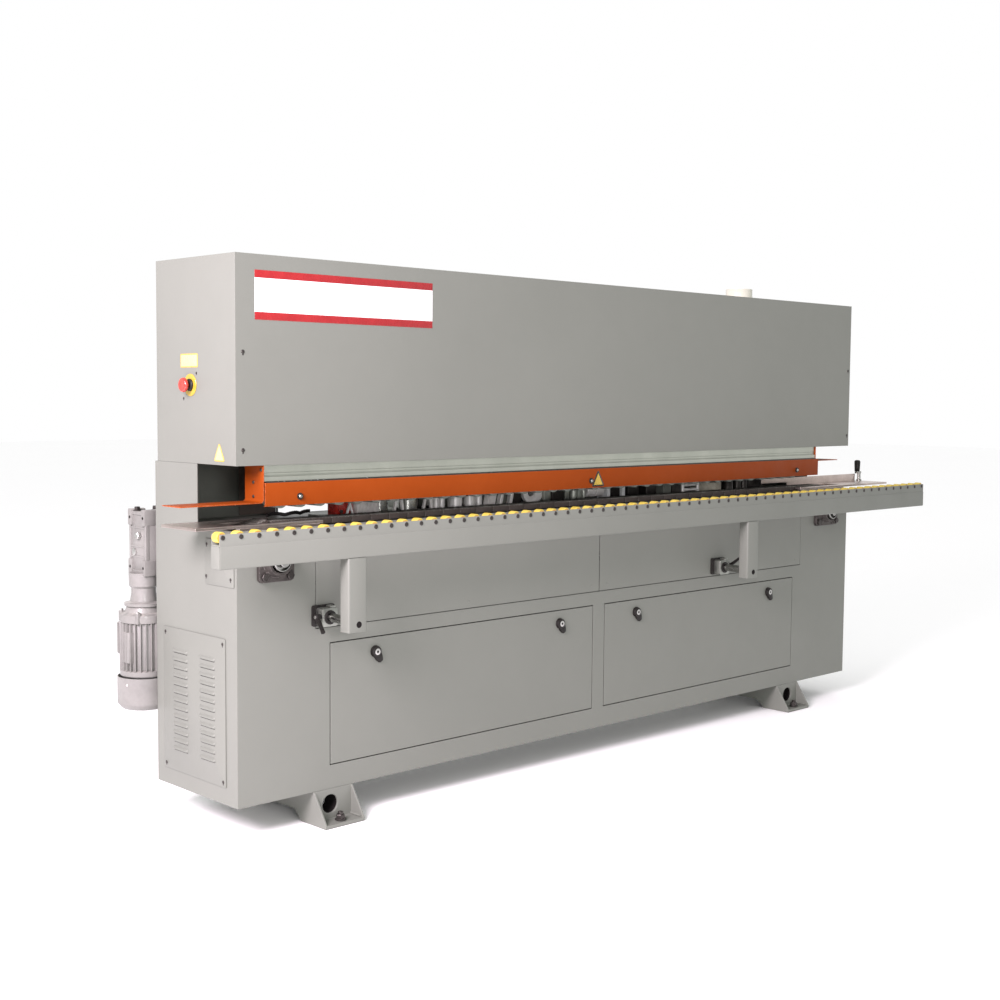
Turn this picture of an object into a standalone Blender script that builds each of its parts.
"""Through-feed edge banding machine, modelled as an assembly of named pieces.

Stations are measured in metres from the cabinet's left end (x), its front face (y)
and the floor (z). The operator stands on the -Y side and panels travel towards +X.
The part's own origin is on the floor, under the middle of the machine's box, so every
mesh is moved by MIDDLE_X and MIDDLE_Y when it is made.
"""
import math

import bmesh
import bpy
from mathutils import Matrix, Vector

# ---- driving dimensions (metres) -------------------------------------------------
BASE_LENGTH = 2.962
BASE_DEPTH = 0.416
BASE_BOTTOM = 0.097
DECK_TOP = 0.856
HOOD_BOTTOM = 1.032
HOOD_TOP = 1.600
HOOD_DEPTH = 0.402
NOTCH_DEPTH = 0.194
SKIN = 0.004
GAP = 0.0003

WORK_PLANE = 0.876
SHAFT_HEIGHT = 0.770
DRIVE_X = 0.122
IDLER_X = 2.800
PAD_PITCH = 0.0705
PAD_THICKNESS = 0.026
CHAIN_FRONT = 0.032
CHAIN_REAR = 0.098
SHAFT_RADIUS = 0.015
SPROCKET_GAP = 0.0020

RAIL_LEFT = -0.155
RAIL_RIGHT = 3.290
RAIL_FRONT = -0.162
RAIL_DEPTH = 0.042
RAIL_BOTTOM = 0.779
RAIL_TOP = 0.840
FLANGE_TOP = 0.868
ROLLER_RADIUS = 0.0155
ROLLER_COUNT = 63
ROLLER_FIRST = -0.146
ROLLER_LAST = 3.2745
ROLLER_HEIGHT = 0.8615

ARM_BOTTOM = 0.573
ARM_WIDTH = 0.064
ARM_CENTRES = (0.286, 2.100)
BAR_HEIGHT = 0.600
BAR_RADIUS = 0.0125
CLAMP_FRONT = -0.040

DOORS = ((0.312, 1.423), (1.479, 2.588))
DOOR_BOTTOM = 0.165
DOOR_TOP = 0.521
DOOR_GAP = 0.003
LATCH_INSET = 0.165
LATCH_HEIGHT = 0.476
PANELS = ((0.262, 1.452), (1.452, 2.637))
PANEL_BOTTOM = 0.565
PANEL_TOP = 0.840

FOOT_WIDTH = 0.140
FOOT_CENTRES = (0.324, 2.566)
LIFT_HOLES = (0.312, 2.568)
FOOT_REACH = 0.058

BEAM_LEFT = 0.0925
BEAM_RIGHT = 2.7295
BEAM_BOTTOM = 0.987
BEAM_TOP = 1.110
GUARD_BOTTOM = 0.920
GUARD_TOP = 0.984
PRESS_PITCH = 0.0680
PRESS_FIRST = 0.161
PRESS_COUNT = 37
PRESS_RADIUS = 0.0275
PRESS_HEIGHT = 0.9375

MOTOR_X = 0.005
MOTOR_Y = 0.496
ESTOP_LEFT = (0.222, 1.249)
ESTOP_RIGHT = (0.060, 1.154)
PORT_X = 2.470
PORT_Y = 0.200
PORT_RADIUS = 0.052
CRANK_X = 3.237
CRANK_Y = 0.118
TABLE_TOP = 0.872
TABLE_THICKNESS = 0.008

FLAG_TIP = -0.170
BOX_REAR = MOTOR_Y + 0.084
MIDDLE_X = (FLAG_TIP + RAIL_RIGHT) / 2
MIDDLE_Y = (RAIL_FRONT + BOX_REAR) / 2

COLOURS = {
    "paint": ((0.47, 0.47, 0.43), 0.45, 0.0),
    "orange": ((0.50, 0.10, 0.02), 0.45, 0.0),
    "yellow": ((0.80, 0.60, 0.05), 0.45, 0.0),
    "black": ((0.02, 0.02, 0.02), 0.50, 0.0),
    "rubber": ((0.06, 0.05, 0.045), 0.75, 0.0),
    "steel": ((0.55, 0.55, 0.54), 0.30, 1.0),
    "aluminium": ((0.62, 0.63, 0.60), 0.35, 1.0),
    "iron": ((0.05, 0.05, 0.05), 0.60, 0.6),
    "red": ((0.55, 0.02, 0.02), 0.40, 0.0),
    "cream": ((0.70, 0.68, 0.60), 0.50, 0.0),
}


# ---- helpers ---------------------------------------------------------------------
def clear_scene():
    """Remove every object that the file opened with."""
    for item in list(bpy.data.objects):
        bpy.data.objects.remove(item, do_unlink=True)


def finish_of(name):
    """Return the Principled material of that name, made once."""
    if name in bpy.data.materials:
        return bpy.data.materials[name]
    colour, roughness, metallic = COLOURS[name]
    material = bpy.data.materials.new(name)
    material.use_nodes = True
    shader = material.node_tree.nodes["Principled BSDF"]
    shader.inputs["Base Color"].default_value = (*colour, 1.0)
    shader.inputs["Roughness"].default_value = roughness
    shader.inputs["Metallic"].default_value = metallic
    return material


def add_object(name, mesh_data, finish=None):
    """Turn a bmesh into an object, moved from its station to the part's own frame."""
    mesh = bpy.data.meshes.new(name)
    bmesh.ops.translate(mesh_data, vec=Vector((-MIDDLE_X, -MIDDLE_Y, 0.0)), verts=mesh_data.verts)
    bmesh.ops.recalc_face_normals(mesh_data, faces=mesh_data.faces)
    mesh_data.to_mesh(mesh)
    mesh_data.free()
    piece = bpy.data.objects.new(name, mesh)
    bpy.context.scene.collection.objects.link(piece)
    if finish:
        mesh.materials.append(finish_of(finish))
    return piece


def block(name, x, y, z, finish=None):
    """Rectangular block between the low and high ends given for x, y and z."""
    data = bmesh.new()
    bmesh.ops.create_cube(data, size=1.0)
    size = Matrix.Diagonal((x[1] - x[0], y[1] - y[0], z[1] - z[0], 1.0))
    middle = Vector((sum(x) / 2, sum(y) / 2, sum(z) / 2))
    data.transform(Matrix.Translation(middle) @ size)
    return add_object(name, data, finish)


def prism(name, outline, axis, low, high, finish=None):
    """Closed outline of (a, b) points carried along an axis.

    For axis X the points are (y, z), for axis Y they are (x, z), for axis Z (x, y).
    """
    def place(a, b, c):
        return {"X": (c, a, b), "Y": (a, c, b), "Z": (a, b, c)}[axis]

    data = bmesh.new()
    verts = [data.verts.new(place(a, b, low)) for a, b in outline]
    face = data.faces.new(verts)
    moved = bmesh.ops.extrude_face_region(data, geom=[face])["geom"]
    step = Vector(place(0.0, 0.0, high - low))
    ends = [item for item in moved if isinstance(item, bmesh.types.BMVert)]
    bmesh.ops.translate(data, vec=step, verts=ends)
    return add_object(name, data, finish)


def turned(name, profile, axis, centre, finish=None, segments=24):
    """Solid turned from (distance along the axis, radius) points.

    centre holds the two coordinates across the axis, in the order of prism.
    """
    a0, b0 = centre

    def place(a, b, c):
        return {"X": (c, a, b), "Y": (a, c, b), "Z": (a, b, c)}[axis]

    data = bmesh.new()
    rings = []
    for height, radius in profile:
        ring = []
        for step in range(segments):
            angle = 2 * math.pi * step / segments
            point = (a0 + radius * math.cos(angle), b0 + radius * math.sin(angle), height)
            ring.append(data.verts.new(place(*point)))
        rings.append(ring)
    for lower, upper in zip(rings, rings[1:]):
        for step in range(segments):
            after = (step + 1) % segments
            data.faces.new((lower[step], lower[after], upper[after], upper[step]))
    data.faces.new(rings[0])
    data.faces.new(rings[-1])
    piece = add_object(name, data, finish)
    piece.data.shade_smooth()
    piece.data.set_sharp_from_angle(angle=math.radians(35))
    return piece


def combine(target, tools, operation):
    """Apply one exact Boolean per tool to the target, then remove the tools."""
    for tool in tools:
        cut = target.modifiers.new(operation.lower(), "BOOLEAN")
        cut.object = tool
        cut.operation = operation
        cut.solver = "EXACT"
        view = bpy.context.evaluated_depsgraph_get()
        mesh = bpy.data.meshes.new_from_object(target.evaluated_get(view))
        target.modifiers.clear()
        target.data = mesh
        bpy.data.objects.remove(tool, do_unlink=True)
    return target


def cut(target, *tools):
    """Take the tools away from the target."""
    return combine(target, tools, "DIFFERENCE")


def weld(target, *tools):
    """Join the tools to the target as one solid."""
    return combine(target, tools, "UNION")


def set_axis(piece, x, y, z):
    """Put a moving piece's origin on its joint axis, at the station given."""
    point = Vector((x - MIDDLE_X, y - MIDDLE_Y, z))
    piece.data.transform(Matrix.Translation(-point))
    piece.location = point
    return piece


def arc(centre, radius, start, end, steps):
    """Points on an arc, angles in degrees, both ends included."""
    points = []
    for step in range(steps + 1):
        angle = math.radians(start + (end - start) * step / steps)
        points.append((centre[0] + radius * math.cos(angle), centre[1] + radius * math.sin(angle)))
    return points


# ---- cabinet ---------------------------------------------------------------------
def make_cabinet():
    """Welded sheet cabinet: lower box, deck, rear wall and two end walls with notches."""
    length, depth = BASE_LENGTH, BASE_DEPTH
    past = 0.05
    cabinet = block("base_cabinet", (0, length), (0, depth), (BASE_BOTTOM, HOOD_BOTTOM - GAP), "paint")
    inside_x = (SKIN, length - SKIN)
    lower = block("lower_room", inside_x, (SKIN, depth - SKIN), (BASE_BOTTOM + SKIN, DECK_TOP - SKIN))
    upper = block("upper_room", inside_x, (-past, depth - SKIN), (DECK_TOP, HOOD_BOTTOM + past))
    notch = block("notch", (-past, length + past), (-past, NOTCH_DEPTH), (DECK_TOP, HOOD_BOTTOM + past))
    cut(cabinet, lower, upper, notch)
    through_front = (-past, SKIN + past)
    for left, right in DOORS:
        cut(cabinet, block("door_hole", (left, right), through_front, (DOOR_BOTTOM, DOOR_TOP)))
    panel_ends = (PANELS[0][0], PANELS[1][1])
    cut(cabinet, block("panel_hole", panel_ends, through_front, (PANEL_BOTTOM, PANEL_TOP)))
    slot = block("chain_slot", (0.010, 2.950), (0.026, 0.104), (DECK_TOP - past, DECK_TOP + past))
    vent = block("vent_hole", (-past, past), (0.072, 0.356), (0.165, 0.538))
    hatch = block("hatch_hole", (-past, past), (0.025, 0.130), (0.725, 0.805))
    tape = block("tape_window", (0.415, 1.150), (depth - past, depth + past), (DECK_TOP + 0.001, 1.000))
    cut(cabinet, slot, vent, hatch, tape)
    for x in (DRIVE_X, IDLER_X):
        cut(cabinet, turned("shaft_hole", ((-past, 0.020), (past, 0.020)), "Y", (x, SHAFT_HEIGHT)))
    rear_hole = ((depth - past, 0.020), (depth + past, 0.020))
    cut(cabinet, turned("rear_shaft_hole", rear_hole, "Y", (DRIVE_X, SHAFT_HEIGHT)))
    return cabinet


def make_upper_panels():
    """Two flush front panels, with clearance holes for the rail's guide bars."""
    for side, (left, right), bar_x in zip(("left", "right"), PANELS, ARM_CENTRES):
        ends = (left + 0.0015, right - 0.0015)
        height = (PANEL_BOTTOM + 0.002, PANEL_TOP - 0.002)
        panel = block(f"upper_panel_{side}", ends, (0, 0.002), height, "paint")
        hole = ((-0.01, BAR_RADIUS + 0.002), (0.01, BAR_RADIUS + 0.002))
        cut(panel, turned("bar_hole", hole, "Y", (bar_x, BAR_HEIGHT)))


def make_side_covers():
    """Louvred vent cover and small drive hatch, screwed on the left end wall."""
    sheet = (-0.0030, -GAP)
    vent = block("vent_cover", sheet, (0.054, 0.374), (0.145, 0.558), "paint")
    for low_y in (0.105, 0.245):
        for row in range(13):
            z = 0.208 + row * 0.0235
            cut(vent, block("louvre", (-0.02, 0.02), (low_y, low_y + 0.075), (z, z + 0.008)))
    block("drive_hatch", sheet, (0.010, 0.151), (0.702, 0.828), "paint")


def make_feet():
    """Two transverse foot beams: side plates, web with a round hole, and two pads."""
    top = BASE_BOTTOM - GAP
    rear = BASE_DEPTH + FOOT_REACH
    outline = ((0.0, top), (-FOOT_REACH, 0.010), (-FOOT_REACH, 0.0), (0.061, 0.0), (0.092, 0.030),
               (BASE_DEPTH - 0.092, 0.030), (BASE_DEPTH - 0.061, 0.0), (rear, 0.0), (rear, 0.010),
               (BASE_DEPTH, top))
    for side, x, hole_x in zip(("left", "right"), FOOT_CENTRES, LIFT_HOLES):
        low, high = x - FOOT_WIDTH / 2, x + FOOT_WIDTH / 2
        foot = prism(f"foot_beam_{side}", outline, "X", low, high, "paint")
        room_x = (low + 0.006, high - 0.006)
        cut(foot,
            block("front_room", room_x, (-0.2, -0.001), (0.010, 0.2)),
            block("middle_room", room_x, (0.006, BASE_DEPTH - 0.006), (-0.1, top - 0.008)),
            block("rear_room", room_x, (BASE_DEPTH + 0.001, BASE_DEPTH + 0.2), (0.010, 0.2)))
        cut(foot, turned("web_hole", ((-0.05, 0.0275), (0.5, 0.0275)), "Y", (hole_x, 0.053)))
        for number, (end, y) in enumerate((("front", -0.034), ("rear", BASE_DEPTH + 0.034))):
            cut(foot, turned("bolt_hole", ((-0.01, 0.009), (0.05, 0.009)), "Z", (x, y), segments=16))
            make_levelling_bolt(f"levelling_bolt_{side}_{end}", x, y)


def make_levelling_bolt(name, x, y):
    """Threaded bolt through a pad, with its lock nut and washer."""
    shank = turned(name, ((0.0, 0.0085), (0.036, 0.0085)), "Z", (x, y), "iron", segments=16)
    washer = turned("washer", ((0.0105, 0.016), (0.0135, 0.016)), "Z", (x, y), segments=16)
    nut = turned("nut", ((0.0130, 0.0135), (0.0270, 0.0135)), "Z", (x, y), segments=6)
    weld(shank, washer, nut)


# ---- doors and latches -----------------------------------------------------------
def make_doors():
    """Bottom-hinged drop doors: sheets with folded edges, each held by two latches."""
    latch = 0
    for side, (left, right) in zip(("left", "right"), DOORS):
        low, high = left + DOOR_GAP, right - DOOR_GAP
        bottom, top = DOOR_BOTTOM + DOOR_GAP, DOOR_TOP - DOOR_GAP
        door = block(f"front_door_{side}", (low, high), (0, 0.014), (bottom, top), "paint")
        fold = 0.0015
        cut(door, block("fold_room", (low + fold, high - fold), (fold, 0.05), (bottom + fold, top - fold)))
        for x in (left + LATCH_INSET, right - LATCH_INSET):
            latch += 1
            hole = ((-0.01, 0.0115), (0.01, 0.0115))
            cut(door, turned("latch_hole", hole, "Y", (x, LATCH_HEIGHT), segments=16))
            make_latch(f"latch_{latch}", x)
        set_axis(door, (low + high) / 2, 0.0, bottom)


def make_latch(name, x):
    """Quarter-turn lock: round head with a drooping thumb lobe, barrel and cam."""
    z = LATCH_HEIGHT
    head = turned(name, ((-0.0140, 0.010), (-0.0110, 0.0135), (-GAP, 0.0145)), "Y", (x, z), "black", 20)
    lobe_angle = math.radians(-68)
    along = (math.cos(lobe_angle), math.sin(lobe_angle))
    across = (-along[1], along[0])
    outline = []
    for reach, half in ((0.0, 0.0125), (0.0, -0.0125), (0.022, -0.0090), (0.029, -0.0045),
                        (0.029, 0.0045), (0.022, 0.0090)):
        outline.append((x + along[0] * reach + across[0] * half, z + along[1] * reach + across[1] * half))
    lobe = prism("lobe", outline, "Y", -0.0090, -GAP)
    barrel = turned("barrel", ((-0.005, 0.011), (0.020, 0.011)), "Y", (x, z), segments=16)
    cam = block("cam", (x - 0.055, x + 0.008), (0.0175, 0.0200), (z - 0.008, z + 0.008))
    weld(head, lobe, barrel, cam)
    set_axis(head, x, 0.0, z)


# ---- support rail ----------------------------------------------------------------
def make_support_rail():
    """Square tube with a folded roller channel on top."""
    back = RAIL_FRONT + RAIL_DEPTH
    length, depth = (RAIL_LEFT, RAIL_RIGHT), (RAIL_FRONT, back)
    beam = block("support_rail", length, depth, (RAIL_BOTTOM, RAIL_TOP), "paint")
    wall = 0.003
    past = 0.01
    cut(beam, block("rail_bore", (RAIL_LEFT - past, RAIL_RIGHT + past),
                    (RAIL_FRONT + wall, back - wall), (RAIL_BOTTOM + wall, RAIL_TOP - wall)))
    channel = block("channel", length, depth, (RAIL_TOP - 0.001, FLANGE_TOP))
    cut(channel, block("channel_room", (RAIL_LEFT - past, RAIL_RIGHT + past),
                       (RAIL_FRONT + wall, back - wall), (RAIL_TOP + 0.002, FLANGE_TOP + past)))
    weld(beam, channel)


def make_support_rollers():
    """Row of guide rollers between the two end rollers, on their common axle strip."""
    pitch = (ROLLER_LAST - ROLLER_FIRST) / (ROLLER_COUNT - 1)
    centres = [ROLLER_FIRST + pitch * number for number in range(1, ROLLER_COUNT - 1)]
    strip = 0.004
    lean = math.degrees(math.asin(strip / ROLLER_RADIUS))
    outline = []
    for x in centres:
        outline += arc((x, ROLLER_HEIGHT), ROLLER_RADIUS, 180 - lean, lean, 5)
    for x in reversed(centres):
        outline += arc((x, ROLLER_HEIGHT), ROLLER_RADIUS, -lean, -180 + lean, 5)
    width = (RAIL_FRONT + 0.005, RAIL_FRONT + RAIL_DEPTH - 0.005)
    prism("support_rollers", outline, "Y", *width, "yellow")
    for side, x in (("left", ROLLER_FIRST), ("right", ROLLER_LAST)):
        profile = ((width[0], ROLLER_RADIUS), (width[1], ROLLER_RADIUS))
        roller = turned(f"end_roller_{side}", profile, "Y", (x, ROLLER_HEIGHT), "yellow", 20)
        set_axis(roller, x, sum(width) / 2, ROLLER_HEIGHT)


def make_arms():
    """Hanging arms with the round guide bars that slide through the clamps."""
    back = RAIL_FRONT + 0.040
    for side, x in zip(("left", "right"), ARM_CENTRES):
        low, high = x - ARM_WIDTH / 2, x + ARM_WIDTH / 2
        height = (ARM_BOTTOM, RAIL_BOTTOM - GAP)
        arm = block(f"rail_arm_{side}", (low, high), (RAIL_FRONT, back), height, "paint")
        cut(arm, block("arm_bore", (low + 0.003, high - 0.003), (RAIL_FRONT + 0.003, back - 0.003),
                       (ARM_BOTTOM - 0.05, RAIL_BOTTOM - 0.004)))
        bar = turned("bar", ((back - 0.0025, BAR_RADIUS), (0.330, BAR_RADIUS)), "Y", (x, BAR_HEIGHT))
        weld(arm, bar)
        hole = ((RAIL_FRONT - 0.01, 0.008), (RAIL_FRONT + 0.01, 0.008))
        cut(arm, turned("arm_hole", hole, "Y", (x + 0.004, 0.594), segments=16))


def make_clamps():
    """Bored clamp blocks on the cabinet, each with an indexable locking lever."""
    for side, x in zip(("left", "right"), ARM_CENTRES):
        half = 0.027
        body = block(f"rail_clamp_{side}", (x - half, x + half), (CLAMP_FRONT, -0.008),
                     (BAR_HEIGHT - half, BAR_HEIGHT + half), "aluminium")
        plate = block("plate", (x - half - 0.012, x + half + 0.012), (-0.0085, -GAP),
                      (BAR_HEIGHT - half, BAR_HEIGHT + half + 0.006))
        weld(body, plate)
        bore = ((-0.2, BAR_RADIUS + 0.0005), (0.1, BAR_RADIUS + 0.0005))
        cut(body, turned("bore", bore, "Y", (x, BAR_HEIGHT)))
        outward = -1 if side == "left" else 1
        make_clamp_lever(side, x + outward * (half + GAP), outward)


def make_clamp_lever(side, face, outward):
    """Lever hub on a screw whose axis runs along X, with a slim tapered handle."""
    y, z = -0.030, BAR_HEIGHT + 0.004
    hub = ((face, 0.006), (face + outward * 0.006, 0.009), (face + outward * 0.020, 0.009))
    lever = turned(f"clamp_lever_{side}", hub if outward > 0 else hub[::-1], "X", (y, z), "black", 16)
    angle = math.radians(-125 if side == "left" else 145)
    along = (math.cos(angle), math.sin(angle))
    across = (-along[1], along[0])
    outline = []
    for reach, half in ((0.004, 0.006), (0.004, -0.006), (0.040, -0.0045), (0.052, -0.0055),
                        (0.052, 0.0055), (0.040, 0.0045)):
        outline.append((y + along[0] * reach + across[0] * half, z + along[1] * reach + across[1] * half))
    ends = sorted((face + outward * 0.009, face + outward * 0.018))
    weld(lever, prism("handle", outline, "X", *ends))
    set_axis(lever, face, y, z)


# ---- feed chain ------------------------------------------------------------------
def track_outline(radius, notched):
    """Closed outline round both sprockets, with a groove at every pad joint."""
    top, bottom = SHAFT_HEIGHT + radius, SHAFT_HEIGHT - radius
    joints = []
    if notched:
        count = int((IDLER_X - DRIVE_X) / PAD_PITCH)
        joints = [DRIVE_X + 0.0105 + PAD_PITCH * number for number in range(count)]
    half, groove = 0.001, 0.006
    points = arc((DRIVE_X, SHAFT_HEIGHT), radius, 270, 90, 10)
    for x in joints:
        points += [(x - half, top), (x - half, top - groove), (x + half, top - groove), (x + half, top)]
    points += arc((IDLER_X, SHAFT_HEIGHT), radius, 90, -90, 10)
    for x in reversed(joints):
        points += [(x + half, bottom), (x + half, bottom + groove)]
        points += [(x - half, bottom + groove), (x - half, bottom)]
    return points


def make_feed_chain():
    """Endless chain of rubber-topped pads, as one closed loop round two sprockets."""
    outer = WORK_PLANE - SHAFT_HEIGHT
    chain = prism("feed_chain", track_outline(outer, True), "Y", CHAIN_FRONT, CHAIN_REAR, "rubber")
    inner = track_outline(outer - PAD_THICKNESS, False)
    cut(chain, prism("inner", inner, "Y", CHAIN_FRONT - 0.01, CHAIN_REAR + 0.01))


def make_shafts():
    """Drive and idler shafts, each with its chain sprocket."""
    sprocket = WORK_PLANE - SHAFT_HEIGHT - PAD_THICKNESS - SPROCKET_GAP
    shafts = (("drive_shaft", DRIVE_X, -0.055, 0.530), ("idler_shaft", IDLER_X, -0.050, 0.160))
    for name, x, front, rear in shafts:
        low, high = CHAIN_FRONT + 0.006, CHAIN_REAR - 0.006
        profile = ((front, SHAFT_RADIUS), (low, SHAFT_RADIUS), (low, sprocket), (high, sprocket),
                   (high, SHAFT_RADIUS), (rear, SHAFT_RADIUS))
        shaft = turned(name, profile, "Y", (x, SHAFT_HEIGHT), "steel", 20)
        set_axis(shaft, x, (low + high) / 2, SHAFT_HEIGHT)


def make_bearings():
    """Cast flange bearings on the front face: plain at the drive end, sliding at the idler end."""
    z = SHAFT_HEIGHT
    thick = (-0.016, -GAP)
    width = (DRIVE_X - 0.058, DRIVE_X + 0.058)
    plain = block("bearing_drive", width, thick, (z - 0.058, z + 0.058), "iron")
    ring = turned("ring", ((-0.044, 0.030), (-0.010, 0.037)), "Y", (DRIVE_X, z))
    weld(plain, ring)
    width = (IDLER_X - 0.075, IDLER_X + 0.075)
    slide = block("bearing_idler", width, thick, (z - 0.055, z + 0.055), "iron")
    ring = turned("ring", ((-0.040, 0.030), (-0.010, 0.037)), "Y", (IDLER_X, z))
    profile = ((IDLER_X + 0.070, 0.010), (IDLER_X + 0.098, 0.010))
    screw = turned("screw", profile, "X", (-0.018, z - 0.030), segments=12)
    weld(slide, ring, screw)
    for bearing, x in ((plain, DRIVE_X), (slide, IDLER_X)):
        bore = ((-0.1, SHAFT_RADIUS + 0.0005), (0.1, SHAFT_RADIUS + 0.0005))
        cut(bearing, turned("bore", bore, "Y", (x, z)))


def make_conveyor_beam():
    """Steel track between the chain's two runs, carried on brackets from the rear wall."""
    run = WORK_PLANE - PAD_THICKNESS
    floor = 2 * SHAFT_HEIGHT - run
    beam = block("conveyor_beam", (0.240, 2.680), (0.034, 0.096), (floor + 0.006, run - GAP), "steel")
    cut(beam, block("beam_bore", (0.2, 2.8), (0.040, 0.090), (floor + 0.012, run - 0.006)))
    for x in (0.420, 1.460, 2.500):
        weld(beam, block("bracket", (x - 0.04, x + 0.04), (0.093, BASE_DEPTH - SKIN - GAP), (0.740, 0.800)))


# ---- tables ----------------------------------------------------------------------
def make_tables():
    """Infeed and outfeed plates: each has a strip beside the chain and ribs on the deck."""
    low = TABLE_TOP - TABLE_THICKNESS
    front = 0.0005
    infeed = block("infeed_table", (-0.126, 0.012), (front, 0.172), (low, TABLE_TOP), "steel")
    weld(infeed,
         block("strip", (0.005, 0.290), (front, 0.026), (low, TABLE_TOP)),
         block("rear_strip", (0.005, 0.220), (0.106, 0.172), (low, TABLE_TOP)),
         block("front_rib", (0.012, 0.280), (0.002, 0.022), (DECK_TOP + GAP, low + 0.001)),
         block("rear_rib", (0.012, 0.210), (0.112, 0.150), (DECK_TOP + GAP, low + 0.001)))
    outfeed = block("outfeed_table", (2.945, 3.268), (front, 0.150), (low, TABLE_TOP), "steel")
    weld(outfeed,
         block("strip", (2.630, 2.950), (front, 0.026), (low, TABLE_TOP)),
         block("rear_strip", (2.700, 2.950), (0.106, 0.150), (low, TABLE_TOP)),
         block("front_rib", (2.640, 2.940), (0.002, 0.022), (DECK_TOP + GAP, low + 0.001)),
         block("rear_rib", (2.710, 2.940), (0.112, 0.145), (DECK_TOP + GAP, low + 0.001)))
    guide = block("outfeed_guide", (2.545, 3.222), (0.128, 0.133), (0.884, 0.903), "steel")
    weld(guide,
         block("guide_web", (2.720, 3.222), (0.128, 0.133), (TABLE_TOP + GAP, 0.885)),
         block("guide_foot", (2.760, 3.205), (0.130, 0.148), (TABLE_TOP + GAP, TABLE_TOP + 0.003)))


def make_crank():
    """Upright crank on the outfeed plate that sets the height of the pressure beam."""
    spindle = ((TABLE_TOP + GAP, 0.013), (0.880, 0.013), (0.880, 0.007), (0.912, 0.007))
    shaft = turned("height_crank", spindle, "Z", (CRANK_X, CRANK_Y), "black", 20)
    half = 0.009
    arm = block("arm", (CRANK_X - 0.024, CRANK_X + half), (CRANK_Y - half, CRANK_Y + half), (0.904, 0.914))
    profile = ((0.910, 0.011), (0.955, 0.013), (0.962, 0.010))
    grip = turned("grip", profile, "Z", (CRANK_X - 0.014, CRANK_Y), segments=20)
    weld(shaft, arm, grip)
    set_axis(shaft, CRANK_X, CRANK_Y, TABLE_TOP)


# ---- pressure beam ---------------------------------------------------------------
def make_pressure_beam():
    """Extruded beam over the work, with the roller row, guard and end flags that hang on it."""
    outline = ((0.004, BEAM_BOTTOM), (0.004, BEAM_BOTTOM + 0.014), (0.007, BEAM_BOTTOM + 0.014),
               (0.007, BEAM_TOP), (0.095, BEAM_TOP), (0.095, BEAM_BOTTOM))
    beam = prism("pressure_beam", outline, "X", BEAM_LEFT, BEAM_RIGHT, "aluminium")
    cut(beam, block("beam_bore", (0, 3), (0.012, 0.090), (BEAM_BOTTOM + 0.005, BEAM_TOP - 0.005)))
    block("safety_guard", (0.088, 2.735), (-0.008, -0.005), (GUARD_BOTTOM, GUARD_TOP), "orange")
    outline = [(PRESS_FIRST - 0.040, BEAM_BOTTOM - GAP), (PRESS_FIRST - 0.040, PRESS_HEIGHT)]
    for number in range(PRESS_COUNT):
        outline += arc((PRESS_FIRST + PRESS_PITCH * number, PRESS_HEIGHT), PRESS_RADIUS, 180, 360, 6)
    last = PRESS_FIRST + PRESS_PITCH * (PRESS_COUNT - 1)
    outline += [(last + 0.040, PRESS_HEIGHT), (last + 0.040, BEAM_BOTTOM - GAP)]
    prism("pressure_rollers", outline, "Y", 0.020, 0.085, "rubber")


def make_flags():
    """Bent orange hand guards on the two ends of the pressure beam."""
    width = (0.002, 0.091)
    face = BEAM_LEFT - GAP
    infeed = block("infeed_flag", (face - 0.0027, face), width, (0.928, 1.060), "orange")
    weld(infeed, block("flange", (FLAG_TIP, face), (0.002, 0.082), (0.928, 0.931)))
    face = BEAM_RIGHT + GAP
    outfeed = block("outfeed_flag", (face, face + 0.0027), width, (0.975, 1.060), "orange")
    weld(outfeed, block("flange", (face, 2.888), (0.002, 0.082), (0.975, 0.978)))


# ---- hood ------------------------------------------------------------------------
def make_hood():
    """Sheet hood: ends, top and rear wall in one shell, closed by a screwed front cover."""
    depth, top = HOOD_DEPTH, HOOD_TOP
    front = 0.0018
    shell = block("hood_shell", (0, BASE_LENGTH), (front, depth), (HOOD_BOTTOM, top), "paint")
    inside_x = (SKIN, BASE_LENGTH - SKIN)
    room = block("hood_room", inside_x, (-0.05, depth - SKIN), (HOOD_BOTTOM - 0.05, top - SKIN))
    cut(shell, room)
    port = ((top - 0.05, PORT_RADIUS - 0.006), (top + 0.05, PORT_RADIUS - 0.006))
    cut(shell, turned("port_hole", port, "Z", (PORT_X, PORT_Y), segments=32))
    for x, (y, z) in ((0, ESTOP_LEFT), (BASE_LENGTH, ESTOP_RIGHT)):
        hole = ((x - 0.02, 0.0115), (x + 0.02, 0.0115))
        cut(shell, turned("button_hole", hole, "X", (y, z), segments=16))
    rail_x = (SKIN - 0.001, BASE_LENGTH - SKIN + 0.001)
    weld(shell, block("front_rail", rail_x, (0.0035, 0.030), (top - 0.060, top - SKIN + 0.001)))
    for x in (0.600, 2.200):
        guide_y = (0.098, depth - SKIN + 0.001)
        weld(shell, block("lift_guide", (x - 0.03, x + 0.03), guide_y, (1.060, 1.300)))
    block("hood_front_cover", (0, BASE_LENGTH), (0, front - GAP), (HOOD_BOTTOM, top), "paint")


def make_dust_port():
    """Round extraction collar that stands on the hood's top."""
    base, top = HOOD_TOP + GAP, 1.650
    flange = PORT_RADIUS + 0.012
    profile = ((base, flange), (base + 0.003, flange), (base + 0.003, PORT_RADIUS), (top, PORT_RADIUS))
    port = turned("dust_port", profile, "Z", (PORT_X, PORT_Y), "cream", 32)
    bore = ((1.5, PORT_RADIUS - 0.003), (1.7, PORT_RADIUS - 0.003))
    cut(port, turned("port_bore", bore, "Z", (PORT_X, PORT_Y), segments=32))


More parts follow.
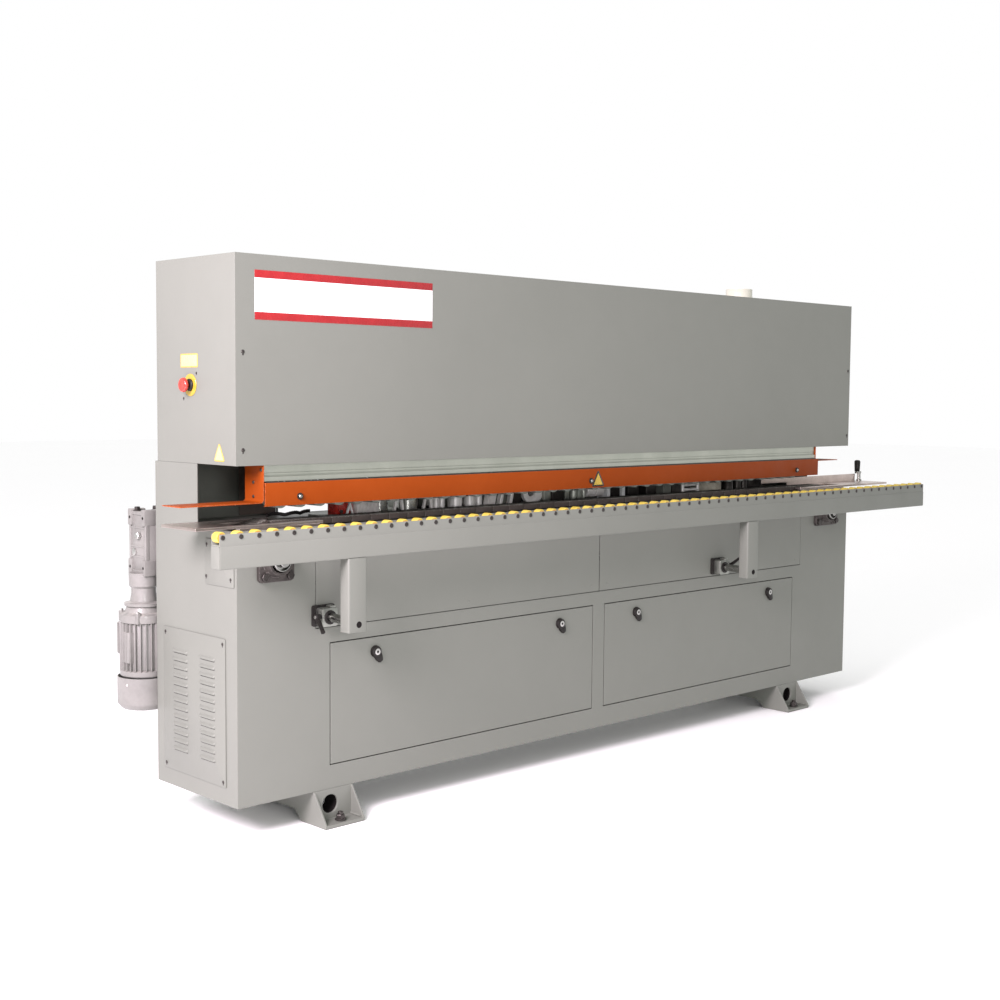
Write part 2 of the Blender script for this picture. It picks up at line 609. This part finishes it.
def make_stop_buttons():
    """Emergency stops: a yellow disc and collar on the hood's end wall, and a red mushroom."""
    for side, x, (y, z), outward in (("left", 0, ESTOP_LEFT, -1), ("right", BASE_LENGTH, ESTOP_RIGHT, 1)):
        def along(*pairs):
            points = [(x + outward * reach, radius) for reach, radius in pairs]
            return points if outward > 0 else points[::-1]

        profile = along((-0.030, 0.0110), (GAP, 0.0110), (GAP, 0.0310), (0.0025, 0.0310),
                        (0.0025, 0.0150), (0.010, 0.0145))
        base = turned(f"stop_base_{side}", profile, "X", (y, z), "yellow", 24)
        cut(base, turned("stem_hole", along((-0.05, 0.0065), (0.05, 0.0065)), "X", (y, z), segments=16))
        profile = along((-0.020, 0.0060), (0.0165, 0.0060), (0.0165, 0.0170),
                        (0.0210, 0.0205), (0.0270, 0.0200), (0.0300, 0.0160))
        button = turned(f"stop_button_{side}", profile, "X", (y, z), "red", 24)
        set_axis(button, x, y, z)


# ---- drive -----------------------------------------------------------------------
def make_gearbox():
    """Worm gearbox behind the cabinet, on the drive shaft, with corner pads and a plug."""
    x, y, z = (-0.012, 0.190), (0.449, 0.543), (0.698, 0.880)
    box = block("gearbox", x, y, z, "paint")
    for low_z in (0.692, 0.838):
        for low_y in (0.449, 0.523):
            weld(box, block("pad", (-0.018, 0.030), (low_y, low_y + 0.020), (low_z, low_z + 0.048)))
    plug = turned("plug", ((-0.024, 0.010), (-0.010, 0.010)), "X", (0.486, 0.810), segments=16)
    profile = ((0.604, 0.036), (0.655, 0.036), (0.655, 0.042), (0.700, 0.042))
    neck = turned("neck", profile, "Z", (MOTOR_X, MOTOR_Y))
    weld(box, plug, neck)
    for bolt_x in (0.000, 0.060):
        weld(box, turned("bolt", ((0.875, 0.008), (0.897, 0.008)), "Z", (bolt_x, 0.520), segments=6))
    seat = turned("seat", ((0.4163, 0.046), (0.455, 0.046)), "Y", (DRIVE_X, SHAFT_HEIGHT))
    weld(box, seat)
    bore = ((0.40, SHAFT_RADIUS + 0.0005), (0.56, SHAFT_RADIUS + 0.0005))
    cut(box, turned("bore", bore, "Y", (DRIVE_X, SHAFT_HEIGHT), segments=20))


def make_motor():
    """Flange motor that hangs under the gearbox: finned body, terminal box and fan cover."""
    centre = (MOTOR_X, MOTOR_Y)
    body = turned("motor_body", ((0.3965, 0.060), (0.548, 0.060), (0.548, 0.066), (0.594, 0.062),
                                 (0.594, 0.072), (0.6037, 0.072)), "Z", centre, "paint", 24)
    for number in range(20):
        angle = math.radians(18 * number + 9)
        fin = block("fin", (0.055, 0.0715), (-0.002, 0.002), (0.400, 0.546))
        fin.data.transform(Matrix.Translation((MIDDLE_X, MIDDLE_Y, 0)))
        turn = Matrix.Rotation(angle, 4, "Z")
        place = Matrix.Translation((centre[0] - MIDDLE_X, centre[1] - MIDDLE_Y, 0))
        fin.data.transform(place @ turn)
        weld(body, fin)
    weld(body, block("terminal_box", (centre[0] - 0.048, centre[0] + 0.032), (centre[1] + 0.050, BOX_REAR),
                     (0.470, 0.572)))
    turned("motor_fan_cover", ((0.300, 0.055), (0.318, 0.0785), (0.396, 0.0785)), "Z", centre, "paint", 28)


# ---- working units ---------------------------------------------------------------
def make_units():
    """Glue pot, press roller, trimming motor and buffing motor on the deck behind the chain."""
    deck = DECK_TOP + GAP
    pot = block("glue_pot", (0.450, 0.560), (0.150, 0.200), (deck, 1.020), "red")
    weld(pot, block("pot_foot", (0.420, 0.660), (0.125, 0.260), (deck, deck + 0.010)))
    upright("glue_roller", 0.620, 0.160, 0.028, (deck + 0.0103, 0.980), "steel")
    press = block("press_unit", (0.760, 1.060), (0.180, 0.330), (deck, 0.990), "aluminium")
    weld(press, block("press_foot", (0.700, 1.060), (0.120, 0.330), (deck, deck + 0.008)))
    upright("press_roller", 0.730, 0.158, 0.034, (deck + 0.0083, 0.960), "rubber")
    trim = block("trim_motor", (1.560, 1.720), (0.190, 0.340), (deck, 1.015), "aluminium")
    weld(trim, block("trim_foot", (1.460, 1.720), (0.120, 0.340), (deck, deck + 0.008)))
    upright("trim_cutter", 1.500, 0.165, 0.035, (deck + 0.0083, 0.930), "steel")
    buff = block("buff_motor", (2.360, 2.520), (0.200, 0.330), (deck, 1.010), "aluminium")
    weld(buff, block("buff_foot", (2.200, 2.520), (0.120, 0.330), (deck, deck + 0.008)))
    upright("buff_wheel", 2.260, 0.185, 0.060, (deck + 0.0083, 0.900), "cream")


def upright(name, x, y, radius, z, finish):
    """Tool or roller that turns about a vertical spindle."""
    low, high = z
    profile = ((low, 0.012), (low + 0.006, 0.012), (low + 0.006, radius), (high, radius))
    tool = turned(name, profile, "Z", (x, y), finish, 20)
    set_axis(tool, x, y, low)


def main():
    """Build every piece of the machine."""
    clear_scene()
    make_cabinet()
    make_upper_panels()
    make_side_covers()
    make_feet()
    make_doors()
    make_support_rail()
    make_support_rollers()
    make_arms()
    make_clamps()
    make_feed_chain()
    make_shafts()
    make_bearings()
    make_conveyor_beam()
    make_tables()
    make_crank()
    make_pressure_beam()
    make_flags()
    make_hood()
    make_dust_port()
    make_stop_buttons()
    make_gearbox()
    make_motor()
    make_units()


main()
